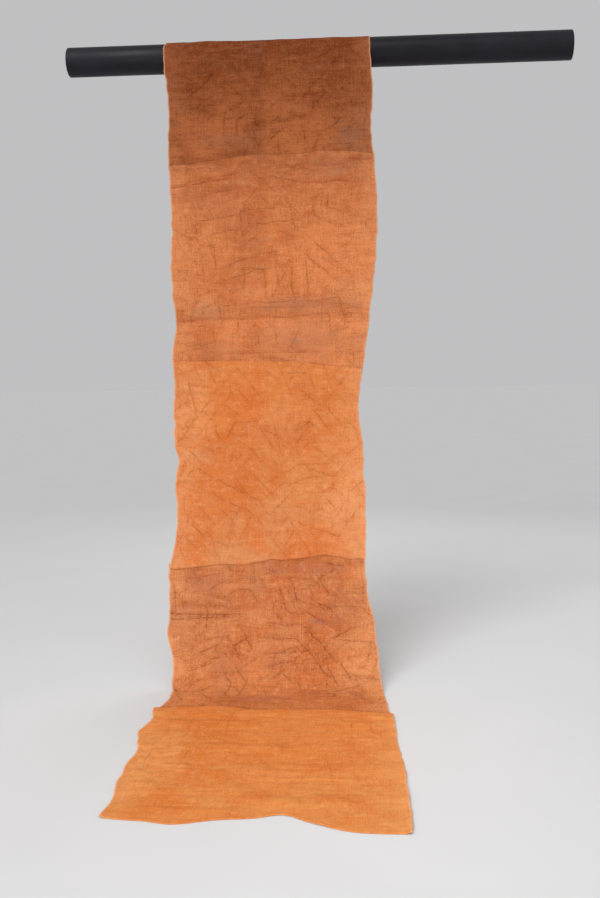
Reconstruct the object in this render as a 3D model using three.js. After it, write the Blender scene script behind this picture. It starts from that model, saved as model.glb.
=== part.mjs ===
// A long kuba cloth of sewn raffia panels, draped over a plain round rod.
// It hangs down in front of the rod, sweeps forward and ends in a tail that lies on the floor.
// Millimetres, +Z up, the viewer on the -Y side. X is measured from the middle of the cloth on the
// rod and Y from the rod's axis, and the last lines move the origin to the floor, under the middle.

import * as THREE from "three";

// Rod
const ROD_RADIUS = 45;
const ROD_LEFT_END = -635;
const ROD_RIGHT_END = 945;
const ROD_AXIS_HEIGHT = 1910;
const ROD_CHAMFER = 3;
const ROD_SIDES = 64;

// Cloth
const CLOTH_THICKNESS = 1.5;
const ROD_CLEARANCE = 0.4;
const BACK_FALL = 300; // straight length behind the rod
const SWEEP = 125; // radius of the curve in which the cloth comes down on the floor

// Lap seams, in which one panel's edge lies on the next one's
const SEAM_LAP = 14;
const SEAM_GAP = 0.3;
const SEAM_HOLD = 18; // length at a panel's end that stays in its layer
const SEAM_EASE = 40; // length over which it then returns to the cloth's own line
const LAYER_STEP = (CLOTH_THICKNESS + SEAM_GAP) / 2;

// Slow waves of the hanging stretch, which die out at the rod, at the seams and near the floor
const SWAY_HEIGHT = 5;
const SWAY_WIDTH = 560;
const SWAY_DRIFT = 900;
const SWAY_FADE = 240;
const SWAY_SEAM_FADE = 110;
const SWAY_FLOOR_FADE = 350;

// Mesh steps
const COLUMNS = 14;
const CLOTH_STEP = 24;
const WRAP_STEP_DEGREES = 7;

// How the tables below are read
const SLANT_REACH = 1 / 3; // share of a panel that follows the slant of its end
const FOLD_END_FADE = 70; // length over which a fold dies out at each end

// Finishes
const RAFFIA_ROUGHNESS = 0.9;
const ROD_PAINT = 0x0b0a12;
const ROD_PAINT_ROUGHNESS = 0.45;

// "along" is the distance down the cloth from the crown of the rod, negative behind it.
// The seams run across the cloth, each from left to right.
const SEAMS = [
  [
    { across: -310, along: 427 },
    { across: -240, along: 423 },
    { across: -120, along: 405 },
    { across: -20, along: 398 },
    { across: 100, along: 400 },
    { across: 195, along: 390 },
    { across: 320, along: 404 },
  ],
  [
    { across: -310, along: 1040 },
    { across: -30, along: 1040 },
    { across: 100, along: 1048 },
    { across: 300, along: 1070 },
  ],
  [
    { across: -310, along: 1667 },
    { across: -245, along: 1664 },
    { across: -165, along: 1655 },
    { across: -80, along: 1656 },
    { across: 10, along: 1642 },
    { across: 60, along: 1643 },
    { across: 175, along: 1629 },
    { across: 230, along: 1637 },
    { across: 310, along: 1641 },
  ],
  [
    { across: -280, along: 2228 },
    { across: -165, along: 2206 },
    { across: -105, along: 2206 },
    { across: -10, along: 2233 },
    { across: 70, along: 2223 },
    { across: 120, along: 2234 },
    { across: 170, along: 2222 },
    { across: 260, along: 2234 },
    { across: 360, along: 2254 },
  ],
];

// The free edge behind the rod, measured from the foot of the back fall
const BACK_HEM = [
  { across: -312, along: -24 },
  { across: -150, along: -8 },
  { across: 0, along: 0 },
  { across: 160, along: 1 },
  { across: 316, along: -6 },
];

// The front edge of the tail, from left to right
const HEM = [
  { across: -260, along: 2906 },
  { across: -165, along: 2918 },
  { across: -104, along: 2930 },
  { across: -20, along: 2908 },
  { across: 65, along: 2895 },
  { across: 126, along: 2879 },
  { across: 187, along: 2915 },
  { across: 275, along: 2953 },
  { across: 390, along: 2959 },
];

// Panels from the back hem to the tail. Layers count in LAYER_STEP, with + towards the viewer:
// headLayer and footLayer are where a panel's ends lie in their seams. The outline rows give the
// panel's side edges, which wander because the panels were woven to different widths.
const PANELS = [
  {
    name: "panel_over_rod",
    color: 0x9a5631,
    headLayer: 0,
    footLayer: -1,
    outline: [
      { along: -375, left: -312, right: 316 },
      { along: -150, left: -309, right: 322 },
      { along: 0, left: -316, right: 321 },
      { along: 104, left: -322, right: 324 },
      { along: 160, left: -314, right: 328 },
      { along: 230, left: -309, right: 329 },
      { along: 300, left: -310, right: 324 },
      { along: 400, left: -310, right: 333 },
    ],
  },
  {
    name: "panel_upper",
    color: 0xc67a4a,
    headLayer: 1,
    footLayer: -1,
    outline: [
      { along: 390, left: -309, right: 334 },
      { along: 620, left: -301, right: 340 },
      { along: 725, left: -305, right: 333 },
      { along: 830, left: -301, right: 321 },
      { along: 903, left: -291, right: 313 },
      { along: 1000, left: -301, right: 297 },
      { along: 1040, left: -300, right: 291 },
    ],
  },
  {
    name: "panel_middle",
    color: 0xda8650,
    headLayer: 1,
    footLayer: 1,
    outline: [
      { along: 1030, left: -300, right: 290 },
      { along: 1120, left: -298, right: 280 },
      { along: 1190, left: -300, right: 276 },
      { along: 1300, left: -295, right: 291 },
      { along: 1338, left: -282, right: 293 },
      { along: 1372, left: -289, right: 290 },
      { along: 1430, left: -292, right: 295 },
      { along: 1515, left: -284, right: 294 },
      { along: 1560, left: -289, right: 297 },
      { along: 1660, left: -309, right: 293 },
    ],
  },
  {
    name: "panel_lower",
    color: 0xcd7b4c,
    headLayer: -1,
    footLayer: 0,
    outline: [
      { along: 1650, left: -309, right: 293 },
      { along: 1740, left: -304, right: 299 },
      { along: 1835, left: -302, right: 321 },
      { along: 1880, left: -302, right: 324 },
      { along: 1970, left: -279, right: 332 },
      { along: 2065, left: -270, right: 343 },
      { along: 2140, left: -263, right: 351 },
      { along: 2190, left: -266, right: 356 },
      { along: 2240, left: -279, right: 364 },
    ],
  },
  {
    name: "panel_tail",
    color: 0xdf8a4c,
    headLayer: 2,
    footLayer: 0,
    outline: [
      { along: 2210, left: -283, right: 363 },
      { along: 2240, left: -288, right: 368 },
      { along: 2330, left: -276, right: 371 },
      { along: 2390, left: -294, right: 374 },
      { along: 2470, left: -279, right: 376 },
      { along: 2535, left: -268, right: 382 },
      { along: 2615, left: -274, right: 388 },
      { along: 2760, left: -267, right: 393 },
      { along: 2830, left: -258, right: 393 },
      { along: 2910, left: -265, right: 391 },
    ],
  },
];

// Folds: soft ridges (height over 0) or troughs (under 0) across the cloth. A fold's line is
// along + slant * x, it runs from one x to the other and is width wide from foot to foot.
const FOLDS = [
  { along: -325, slant: 0.06, from: -400, to: 120, height: 9, width: 190 },
  { along: -245, slant: -0.05, from: -60, to: 400, height: 7, width: 170 },
  { along: 440, slant: -0.16, from: -330, to: -60, height: 7, width: 90 },
  { along: 505, slant: -0.1, from: -330, to: 40, height: -4, width: 80 },
  { along: 560, slant: 0.03, from: 20, to: 350, height: 4, width: 110 },
  { along: 835, slant: 0.02, from: -250, to: 330, height: 5, width: 100 },
  { along: 900, slant: 0.01, from: -330, to: 340, height: -7, width: 76 },
  { along: 962, slant: 0.05, from: -300, to: 330, height: 4, width: 90 },
  { along: 1240, slant: -0.12, from: -320, to: 120, height: 4, width: 150 },
  { along: 1470, slant: 0.1, from: -60, to: 320, height: 5, width: 160 },
  { along: 1762, slant: 0.02, from: -330, to: 20, height: 6, width: 90 },
  { along: 1812, slant: 0.03, from: -330, to: 0, height: -8, width: 64 },
  { along: 1860, slant: 0.1, from: -330, to: 260, height: 6, width: 96 },
  { along: 1930, slant: -0.06, from: 40, to: 360, height: 6, width: 110 },
  { along: 2010, slant: 0.08, from: -320, to: 120, height: 4, width: 110 },
  { along: 2262, slant: 0.02, from: -330, to: 120, height: 3, width: 80 },
  { along: 2345, slant: 0.05, from: -330, to: 60, height: 3, width: 90 },
  { along: 2350, slant: -0.04, from: 120, to: 400, height: 2, width: 90 },
  { along: 2500, slant: 0.03, from: -320, to: 250, height: 2, width: 120 },
  { along: 2640, slant: -0.04, from: -40, to: 410, height: 3, width: 110 },
  { along: 2740, slant: 0.05, from: -300, to: 60, height: 2, width: 110 },
  { along: 2812, slant: 0.04, from: 0, to: 300, height: 5, width: 110 },
];

// The cloth's middle line, seen from the side
const WRAP_RADIUS = ROD_RADIUS + ROD_CLEARANCE + CLOTH_THICKNESS / 2;
const FLOOR_LEVEL = CLOTH_THICKNESS / 2;
const CROWN = BACK_FALL + (WRAP_RADIUS * Math.PI) / 2;
const LEAN = findLean();
const FRONT_FALL = SWEEP / Math.tan(LEAN);
const FRONT_START = BACK_FALL + WRAP_RADIUS * (Math.PI - LEAN);
const TOUCHDOWN = FRONT_START + FRONT_FALL;
const TOUCHDOWN_Y = -WRAP_RADIUS * Math.cos(LEAN) - SWEEP * Math.asinh(FRONT_FALL / SWEEP);

// The angle from the vertical at which the hanging cloth leaves the rod, found by repeated trial
function findLean() {
  const trials = 20;
  let lean = 0;
  for (let trial = 0; trial < trials; trial++) {
    const height = ROD_AXIS_HEIGHT + WRAP_RADIUS * Math.sin(lean) - FLOOR_LEVEL;
    lean = Math.atan(1 / Math.sinh(Math.acosh(1 + height / SWEEP)));
  }
  return lean;
}

// The point of the middle line at a length from the back hem, and the direction in which it runs on
function pathAt(length) {
  if (length <= BACK_FALL) {
    return { y: WRAP_RADIUS, z: ROD_AXIS_HEIGHT - BACK_FALL + length, runY: 0, runZ: 1 };
  }
  if (length <= FRONT_START) {
    const angle = (length - BACK_FALL) / WRAP_RADIUS;
    return {
      y: WRAP_RADIUS * Math.cos(angle),
      z: ROD_AXIS_HEIGHT + WRAP_RADIUS * Math.sin(angle),
      runY: -Math.sin(angle),
      runZ: Math.cos(angle),
    };
  }
  if (length <= TOUCHDOWN) {
    const turn = Math.asinh((TOUCHDOWN - length) / SWEEP);
    return {
      y: TOUCHDOWN_Y + SWEEP * turn,
      z: FLOOR_LEVEL + SWEEP * (Math.cosh(turn) - 1),
      runY: -1 / Math.cosh(turn),
      runZ: -Math.tanh(turn),
    };
  }
  return { y: TOUCHDOWN_Y - (length - TOUCHDOWN), z: FLOOR_LEVEL, runY: -1, runZ: 0 };
}

// Eases from 0 at start to 1 at end
function ease(value, start, end) {
  return THREE.MathUtils.smoothstep(value, start, end);
}

// A smooth curve through the rows of a table, read from the column named by `column`
function readTable(rows, key, column, at) {
  const last = rows.length - 1;
  const slope = (i) => {
    const low = rows[Math.max(i - 1, 0)];
    const high = rows[Math.min(i + 1, last)];
    return (high[column] - low[column]) / (high[key] - low[key]);
  };
  let i = 0;
  while (i < last - 1 && at > rows[i + 1][key]) {
    i++;
  }
  const span = rows[i + 1][key] - rows[i][key];
  const t = THREE.MathUtils.clamp((at - rows[i][key]) / span, 0, 1);
  const rise = t * t * (3 - 2 * t);
  const lead = t * (1 - t) * (1 - t) * span * slope(i);
  const trail = t * t * (t - 1) * span * slope(i + 1);
  return THREE.MathUtils.lerp(rows[i][column], rows[i + 1][column], rise) + lead + trail;
}

// How far down the cloth an edge or a seam is at a place across it
function edgeAt(edge, x) {
  return readTable(edge, "across", "along", x);
}

// A round-topped bump, 1 in the middle and 0 from half its width outwards
function bump(offset, width) {
  const t = Math.min(Math.abs(offset) / (width / 2), 1);
  return (1 + Math.cos(Math.PI * t)) / 2;
}

function foldHeight(along, x) {
  let height = 0;
  for (const fold of FOLDS) {
    const across = bump(along - fold.along - fold.slant * x, fold.width);
    const inFromEnd = Math.min(x - fold.from, fold.to - x);
    height += fold.height * across * ease(inFromEnd, 0, FOLD_END_FADE);
  }
  return height;
}

function swayHeight(along, x) {
  const length = along + CROWN;
  const hanging = ease(length, FRONT_START, FRONT_START + SWAY_FADE);
  const clear = 1 - ease(length, TOUCHDOWN - SWAY_FLOOR_FADE, TOUCHDOWN);
  const offSeam = SEAMS.reduce((least, seam) => {
    return Math.min(least, ease(Math.abs(along - edgeAt(seam, x)), SEAM_HOLD, SWAY_SEAM_FADE));
  }, 1);
  const wave = Math.sin(2 * Math.PI * (x / SWAY_WIDTH + along / SWAY_DRIFT));
  return SWAY_HEIGHT * hanging * clear * offSeam * wave;
}

// The lengths from the crown at which a panel has a row of points: short steps on the rod, long
// steps elsewhere, and a row where each end's seam hold stops
function stationsOf(head, foot) {
  const wrapStart = BACK_FALL - CROWN;
  const wrapEnd = FRONT_START - CROWN;
  const wrapStep = WRAP_RADIUS * THREE.MathUtils.degToRad(WRAP_STEP_DEGREES);
  const stops = [head, head + SEAM_HOLD, wrapStart, wrapEnd, foot - SEAM_HOLD, foot];
  const inside = stops.filter((stop) => stop >= head && stop <= foot);
  const stations = [head];
  for (let i = 1; i < inside.length; i++) {
    const from = inside[i - 1];
    const run = inside[i] - from;
    const onRod = from >= wrapStart && inside[i] <= wrapEnd;
    const steps = Math.max(1, Math.round(run / (onRod ? wrapStep : CLOTH_STEP)));
    for (let step = 1; step <= steps; step++) {
      stations.push(from + (run * step) / steps);
    }
  }
  return stations;
}

// A closed sheet from a grid of points, each with its place and the way its outer face looks
function closedSheet(grid) {
  const rows = grid.length;
  const columns = grid[0].length;
  const positions = [];
  for (const side of [1, -1]) {
    for (const point of grid.flat()) {
      const offset = (side * CLOTH_THICKNESS) / 2;
      positions.push(point.x, point.y + offset * point.faceY, point.z + offset * point.faceZ);
    }
  }
  const outer = (row, column) => row * columns + column;
  const inner = (row, column) => rows * columns + outer(row, column);
  const triangles = [];
  const quad = (a, b, c, d) => triangles.push(a, b, c, a, c, d);
  for (let row = 0; row < rows - 1; row++) {
    for (let column = 0; column < columns - 1; column++) {
      const next = column + 1;
      quad(outer(row, column), outer(row + 1, column), outer(row + 1, next), outer(row, next));
      quad(inner(row, column), inner(row, next), inner(row + 1, next), inner(row + 1, column));
    }
    const end = columns - 1;
    quad(outer(row, 0), inner(row, 0), inner(row + 1, 0), outer(row + 1, 0));
    quad(outer(row, end), outer(row + 1, end), inner(row + 1, end), inner(row, end));
  }
  for (let column = 0; column < columns - 1; column++) {
    const next = column + 1;
    const end = rows - 1;
    quad(outer(0, column), outer(0, next), inner(0, next), inner(0, column));
    quad(outer(end, column), inner(end, column), inner(end, next), outer(end, next));
  }
  const geometry = new THREE.BufferGeometry();
  geometry.setAttribute("position", new THREE.Float32BufferAttribute(positions, 3));
  geometry.setIndex(triangles);
  geometry.computeVertexNormals();
  return geometry;
}

// One panel of the cloth, from the seam before it (or the back hem) to the seam after it (or the
// front hem). A slanted end pulls the rows near it along, and the rest of the rows stay level.
function makePanel(panel, index) {
  const seamBefore = SEAMS[index - 1];
  const seamAfter = SEAMS[index];
  const overlap = SEAM_LAP / 2;
  const headAt = (x) => (seamBefore ? edgeAt(seamBefore, x) - overlap : edgeAt(BACK_HEM, x) - CROWN);
  const footAt = (x) => (seamAfter ? edgeAt(seamAfter, x) + overlap : edgeAt(HEM, x));
  const head = headAt(0);
  const foot = footAt(0);
  const pullRun = (foot - head) * SLANT_REACH;
  const grid = stationsOf(head, foot).map((station) => {
    const nearHead = 1 - ease(station, head + SEAM_HOLD, head + pullRun);
    const nearFoot = ease(station, foot - pullRun, foot - SEAM_HOLD);
    const left = readTable(panel.outline, "along", "left", station);
    const right = readTable(panel.outline, "along", "right", station);
    const headLift = panel.headLayer * (1 - ease(station, head + SEAM_HOLD, head + SEAM_HOLD + SEAM_EASE));
    const footLift = panel.footLayer * ease(station, foot - SEAM_HOLD - SEAM_EASE, foot - SEAM_HOLD);
    return Array.from({ length: COLUMNS + 1 }, (_, column) => {
      const x = THREE.MathUtils.lerp(left, right, column / COLUMNS);
      const along = station + nearHead * (headAt(x) - head) + nearFoot * (footAt(x) - foot);
      const path = pathAt(along + CROWN);
      const lift = (headLift + footLift) * LAYER_STEP + foldHeight(along, x) + swayHeight(along, x);
      const faceY = path.runZ;
      const faceZ = -path.runY;
      return { x, y: path.y + lift * faceY, z: path.z + lift * faceZ, faceY, faceZ };
    });
  });
  const raffia = new THREE.MeshStandardMaterial({
    color: panel.color,
    roughness: RAFFIA_ROUGHNESS,
    metalness: 0,
  });
  const mesh = new THREE.Mesh(closedSheet(grid), raffia);
  mesh.name = panel.name;
  return mesh;
}

// The plain rod, turned about its axis and laid along X
function makeRod() {
  const rim = ROD_RADIUS - ROD_CHAMFER;
  const length = ROD_RIGHT_END - ROD_LEFT_END;
  const profile = [
    new THREE.Vector2(0, 0),
    new THREE.Vector2(rim, 0),
    new THREE.Vector2(ROD_RADIUS, ROD_CHAMFER),
    new THREE.Vector2(ROD_RADIUS, length - ROD_CHAMFER),
    new THREE.Vector2(rim, length),
    new THREE.Vector2(0, length),
  ];
  const paint = new THREE.MeshStandardMaterial({
    color: ROD_PAINT,
    roughness: ROD_PAINT_ROUGHNESS,
    metalness: 0,
  });
  const mesh = new THREE.Mesh(new THREE.LatheGeometry(profile, ROD_SIDES), paint);
  mesh.name = "rod";
  mesh.rotation.z = -Math.PI / 2;
  mesh.position.set(ROD_LEFT_END, 0, ROD_AXIS_HEIGHT);
  return mesh;
}

const drapedCloth = new THREE.Group();
drapedCloth.add(makeRod(), ...PANELS.map(makePanel));

// The origin goes to the floor, under the middle of the whole box
const middle = new THREE.Box3().setFromObject(drapedCloth).getCenter(new THREE.Vector3());
drapedCloth.position.set(-middle.x, -middle.y, 0);

export default drapedCloth;
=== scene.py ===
"""The looks of a long kuba cloth of sewn raffia panels, draped over a plain round rod.

Sizes are in millimetres, as on the cloth itself, and MM turns them into metres. "along" is the distance
down the cloth from the crown of the rod, negative behind it, and "across" the distance from the cloth's
middle, to the viewer's right.
"""
import math
from collections import namedtuple

import bpy
import numpy as np
from mathutils import Matrix, Vector
from mathutils.kdtree import KDTree


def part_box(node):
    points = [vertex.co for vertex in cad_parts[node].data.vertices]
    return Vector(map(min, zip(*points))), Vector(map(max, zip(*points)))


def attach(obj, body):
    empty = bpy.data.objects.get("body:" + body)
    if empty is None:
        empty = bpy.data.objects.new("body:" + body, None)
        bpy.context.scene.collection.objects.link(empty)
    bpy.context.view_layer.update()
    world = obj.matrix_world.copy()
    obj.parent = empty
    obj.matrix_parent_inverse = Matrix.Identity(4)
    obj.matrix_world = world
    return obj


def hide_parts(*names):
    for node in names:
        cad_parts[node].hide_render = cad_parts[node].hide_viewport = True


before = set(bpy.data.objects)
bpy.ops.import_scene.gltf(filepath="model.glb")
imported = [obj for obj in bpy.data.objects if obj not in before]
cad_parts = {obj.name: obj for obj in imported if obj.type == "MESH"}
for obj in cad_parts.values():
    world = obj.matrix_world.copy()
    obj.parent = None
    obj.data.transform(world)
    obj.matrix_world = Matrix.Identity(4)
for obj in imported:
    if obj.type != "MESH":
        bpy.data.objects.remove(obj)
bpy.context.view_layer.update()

MM = 0.001
BODY = "root"

# The rod: its left end, axis and radius in the frame place everything else
ROD_LEFT_END = -635
rod_low, rod_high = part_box("rod")
MIDDLE_X = rod_low.x / MM - ROD_LEFT_END
AXIS_Y = (rod_low.y + rod_high.y) / 2 / MM
ROD_AXIS_HEIGHT = (rod_low.z + rod_high.z) / 2 / MM
ROD_RADIUS = (rod_high.z - rod_low.z) / 2 / MM
ROD_LENGTH = (rod_high.x - rod_low.x) / MM
ROD_SEGMENTS = 128
ROD_EDGE_ROUND = 3
ROD_EDGE_STEPS = 6
ROD_SHARP = 40  # degrees from which an edge is shaded as sharp

# Cloth, as in the frame
CLOTH_THICKNESS = 1.5
ROD_CLEARANCE = 0.4
BACK_FALL = 300
SWEEP = 125
SEAM_LAP = 14
SEAM_GAP = 0.3
SEAM_HOLD = 18
SEAM_EASE = 40
LAYER_STEP = (CLOTH_THICKNESS + SEAM_GAP) / 2
SWAY_HEIGHT = 5
SWAY_WIDTH = 560
SWAY_DRIFT = 900
SWAY_FADE = 240
SWAY_SEAM_FADE = 110
SWAY_FLOOR_FADE = 350
SLANT_REACH = 1 / 3
FOLD_END_FADE = 70
LEAN_TRIALS = 20

# Finer shapes that only the dressed cloth has. Random waves lie between a shortest and a longest length.
Waves = namedtuple("Waves", "seed count shortest longest")
MESH_STEP = 3.9
CLOTH_SHARP = 60  # degrees
EDGE_ROUND = 0.6  # how far the rounded rim stands out of the sheet's edge
EDGE_WANDER = 1.1
EDGE_WAVES = Waves(4, 14, 30, 150)
EDGE_CURL = 3.5  # lift of the side edges
EDGE_CURL_WIDTH = 26
EDGE_CURL_WAVES = Waves(12, 6, 120, 420)
SEAM_WANDER = 1.3
SEAM_WAVES = Waves(0, 8, 45, 220)
HEM_ROLL = 0.5  # extra half thickness of the hems
HEM_ROLL_WIDTH = 9
CRINKLE_HEIGHT = 0.7
CRINKLE_WAVES = Waves(7, 26, 22, 120)
CRUMPLED_SHARE = 0.45  # by which some places are smoother and others more crinkled
CRUMPLED_WAVES = Waves(19, 7, 240, 600)
ROD_SLACK = 1.1  # how far the cloth stands off the top of the rod, on average
ROD_SLACK_WAVES = Waves(23, 9, 70, 260)
ROD_CRINKLE = 0.5  # share of the crinkles that is left on the rod
ROD_CALM = 70  # length beside the rod over which the cloth settles against it
FLOOR_CALM = 90
CREASE_END_FADE = 45

# Lines on the cloth: stitched outlines, creases, and soft lines where it was crumpled
LINE_STEP = 1
LINE_WOBBLE = 1.8
LINE_WAVES = Waves(0, 6, 35, 160)
WEAR_WAVES = Waves(1000, 8, 50, 300)
WEAR = (-2.8, 0.6)  # heights of these waves at which a line is worn away and at which it is whole
CORNER_SOFTNESS = 3  # points averaged on each side, which rounds the corners
CORNER_LIMIT = 0.3  # least cosine of half a turn, so that sharp corners don't reach far out
BAR_END = 0.3  # strength of the lines that close a bar's ends
BAR_SEED_STEP = 100
CREASE_LINE_WIDTH = 3.2
CREASE_DARK = 0.85
DEEPEST_CREASE = 3.4
CRUMPLE_SEED = 900
CRUMPLE_WIDTHS = (2.4, 5)
CRUMPLE_LENGTHS = (40, 190)
CRUMPLE_STRENGTHS = (0.35, 1)
CRUMPLE_END_FADE = 0.6  # share of each half
CRUMPLE_TURN = 13  # degrees that the crumple lines stray from their headings
CRUMPLE_BOW = 7

# Stitches and loose fibres, with the ranges of their random shifts and shares
STITCH_SEED = 400
STITCH_LENGTH = 3.4
STITCH_LENGTH_SHARES = (0.6, 1.2)
STITCH_SHIFTS = (-0.25, 0.25)
STITCH_WIDTH = 1.25
STITCH_WIDTH_SHARES = (0.8, 1.2)
OUTLINE_WIDTH_SHARES = (0.6, 1.1)
STITCH_RISE = 0.5
STITCH_SINK = 0.35
STITCH_TIP = 0.45  # share of the width at the tips
STITCH_FLATNESS = 0.7
STITCH_SIDES = 4
STITCH_RINGS = (0.12, 0.5, 0.88)
STITCH_LOST = 0.18  # share of stitches lost at random
STITCH_OFF_SEAM = 27
SEAM_STITCH_SEED = 700
SEAM_STITCH_PITCH = 8
SEAM_STITCH_SHIFTS = (-1.2, 1.2)
SEAM_STITCH_REACH = 4.5
SEAM_STITCH_REACH_SHARES = (0.7, 1.2)
SEAM_STITCH_SLANT = 3
FIBRE_SEED = 500
FIBRE_PITCH = 6
FIBRE_LENGTHS = (1.5, 7)
FIBRE_LENGTH_SHARES = (0.3, 1)
FIBRE_SLANT = 2.5
FIBRE_WIDTH = 0.4

# Raffia. A noise has scales per metre across and along the cloth, the low and high values between which
# it takes effect, and the share of it that is there from the start. Other ranges hold the low and high
# values of a noise, and some the two shares that it goes between.
Noise = namedtuple("Noise", "across along detail roughness low high start", defaults=(0, 1, 0))
WARP_PITCH = 1.35
WEFT_PITCH = 1.5
WEAVE_DEPTH = 0.35
WEAVE_STRENGTH = 0.8
THREAD_RELIEF = 1.4
LINE_DENT = 2
NOISE_MIDDLE = 0.5
WEFT = Noise(16, 310, 3, 0.6)
WARP = Noise(310, 14, 3, 0.6)
GRAIN = Noise(160, 180, 2, 0.55)
MOTTLE = Noise(44, 52, 3, 0.6)
BANDS = Noise(7, 60, 3, 0.6)
PALE_RANGE = (0.52, 0.78)
DEEP_RANGE = (0.48, 0.25)
BLOTCHES = (Noise(9, 9, 4, 0.6, 0.45, 0.72), Noise(3.1, 3.6, 4, 0.6, 0.45, 0.72))
MARGIN = 110  # over which the sides are paler
MARGIN_EDGE = Noise(7, 12, 3, 0.55)
MARGIN_FADE = (-55, 27.5)  # distances past its ragged edge
MARGIN_PALE = 0.45
OPEN_PLACES = Noise(11, 14, 3, 0.55, 0.38, 0.62)
GAPS = (Noise(30, 360, 2, 0.6, 0.58, 0.7), Noise(360, 30, 2, 0.6, 0.58, 0.7))
PATCH_EDGE = Noise(19, 26, 4, 0.6)
PATCH_RAGGED = 1.6
PATCH_RANGE = (1.1, 2)
CLOUDS = Noise(5.2, 6.4, 4, 0.6, 0.5, 0.72)
GREY_THREADS = (0.46, 0.66, 0.3, 1.2)
GREY_SPOTS = (0.35, 0.65, 0.6, 1.15)
# Dark for the specks, and for the painted shade in the open weave and beside the seams
STAIN_AND_SHADE = (0.17, 0.036, 0.01)
SMUDGES = Noise(16, 24, 4, 0.6, 0.38, 0.62)
SMUDGE_THREADS = (0.3, 0.6, 0.5, 1)
SMUDGE_FADE = (10, 50)  # distances from a seam
SPECKS = Noise(210, 190, 2, 0.6, 0.6, 0.74)
SPECK_PLACES = Noise(9, 9, 4, 0.55, 0.4, 0.62, 0.15)
LINE_FRAY = 1.5  # in line widths
LINE_BREAKS = Noise(90, 90, 3, 0.6, 0.35, 0.6, 0.35)
LINE_SHADE = 0.3  # strength of the soft shade beside a line
LINE_SHADE_REACH = 4.5  # in line widths
LINE_SHADE_SPOTS = (0.35, 0.65, 0.3, 1)
# Painted highlight: a pale strip along the side edges, where they catch the light
EDGE_HIGHLIGHT_WIDTH = 5.5
EDGE_HIGHLIGHT_COLOUR = (0.8, 0.42, 0.25)
EDGE_HIGHLIGHT_STRENGTH = 0.6
RAFFIA_ROUGHNESS = (0.3, 0.8, 0.95, 0.78)
RAFFIA_GLOSS = 0.05

# Thread, paint and floor. A finish has a coarse noise for its two tones and a fine one for its relief.
Finish = namedtuple("Finish", "scale detail tones roughness gloss fine_scale fine_detail depth strength")
THREAD_FINISH = Finish(240, 3, (0.35, 0.7), (0.3, 0.7, 0.9, 0.7), 0.15, 1800, 2, 0.2, 0.4)
ROD_FINISH = Finish(9, 5, (0.4, 0.75), (0.3, 0.75, 0.42, 0.6), 0.25, 420, 2, 0.2, 0.15)
ROD_PAINT = ((0.004, 0.0035, 0.007), (0.01, 0.009, 0.018))
SEAM_THREAD = ((0.3, 0.085, 0.03), (0.5, 0.17, 0.06))
LOOSE_FIBRE = ((0.6, 0.25, 0.09), (0.78, 0.38, 0.16))
THREAD_DARKER = 0.6
FLOOR_GREYS = ((0.59, 0.59, 0.59), (0.63, 0.63, 0.63))
FLOOR_SCALE = 3
FLOOR_DETAIL = 4
FLOOR_ROUGHNESS = 0.8
FLOOR_GLOSS = 0.5
FLOOR_HALF_SIZE = 30000
FLOOR_DROP = 0.3

# Camera and light
PICTURE_LONG_SIDE = 898  # pixels
FOCAL_LENGTH = 1050  # pixels
SENSOR = 36
CAMERA_PLACE = (321, -3389, 963)  # from the cloth's middle, the rod's axis and the floor
LEVEL = 90  # degrees from looking straight down
CAMERA_TURN = 4  # degrees to the left of straight ahead
CAMERA_DIP = 5
CAMERA_ROLL = 0.9
Softbox = namedtuple("Softbox", "name place target size watts spread")
HANGING = (0, -0.3, 0.35)
SOFTBOXES = [  # in metres and degrees
    Softbox("key", (-1.5, -2.9, 1.4), HANGING, (1.6, 1.6), 8, 100),
    Softbox("fill", (1.9, -2.9, 1), HANGING, (1.6, 1.8), 4.5, 110),
    Softbox("tail", (0, -2.2, 2.6), (0, -0.4, 0), (1.4, 1.2), 4, 70),
    Softbox("rear", (0.6, 3.4, 2.6), (0, 0.6, 1), (1.6, 1.2), 16, 140),
]
SKY_HEIGHT = 42  # degrees
SKY_LEFT = 28
SKY_SOFTNESS = 36
SKY_STRENGTH = 1.6
ROOM_COLOUR = (0.62, 0.62, 0.63)
ROOM_STRENGTH = 0.85

# Columns of the tables, and of what is passed between functions
Outline = namedtuple("Outline", "along left right")
EdgePoint = namedtuple("EdgePoint", "across along")
Fold = namedtuple("Fold", "along slant start end height width")
Tone = namedtuple(
    "Tone",
    "head foot fade deep pale grey line blotches mottle bands threads gaps clouds specks stains "
    "line_width outlines crumpling",
)
Patch = namedtuple("Patch", "across along wide long strength")
Motif = namedtuple("Motif", "across along heading path wide")
Panel = namedtuple(
    "Panel",
    "name node head_layer foot_layer held rests_on pitch kept crumples headings tone outline greyed faded "
    "motifs",
)
Mark = namedtuple("Mark", "line strength width")
Stitches = namedtuple("Stitches", "starts ends side width")
Places = namedtuple("Places", "flat u v from_head from_foot inset weft warp grain mottle")


def table(kind, *rows):
    """Rows with the named columns of their kind."""
    return [kind(*row) for row in rows]


# The seams from the rod downwards, each from left to right
SEAMS = [
    table(EdgePoint, (-310, 427), (-240, 423), (-120, 405), (-20, 398), (100, 400), (195, 390), (320, 404)),
    table(EdgePoint, (-310, 1040), (-30, 1040), (100, 1048), (300, 1070)),
    table(
        EdgePoint,
        (-310, 1667), (-245, 1664), (-165, 1655), (-80, 1656), (10, 1642), (60, 1643), (175, 1629),
        (230, 1637), (310, 1641),
    ),
    table(
        EdgePoint,
        (-280, 2228), (-165, 2206), (-105, 2206), (-10, 2233), (70, 2223), (120, 2234), (170, 2222),
        (260, 2234), (360, 2254),
    ),
]

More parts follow.
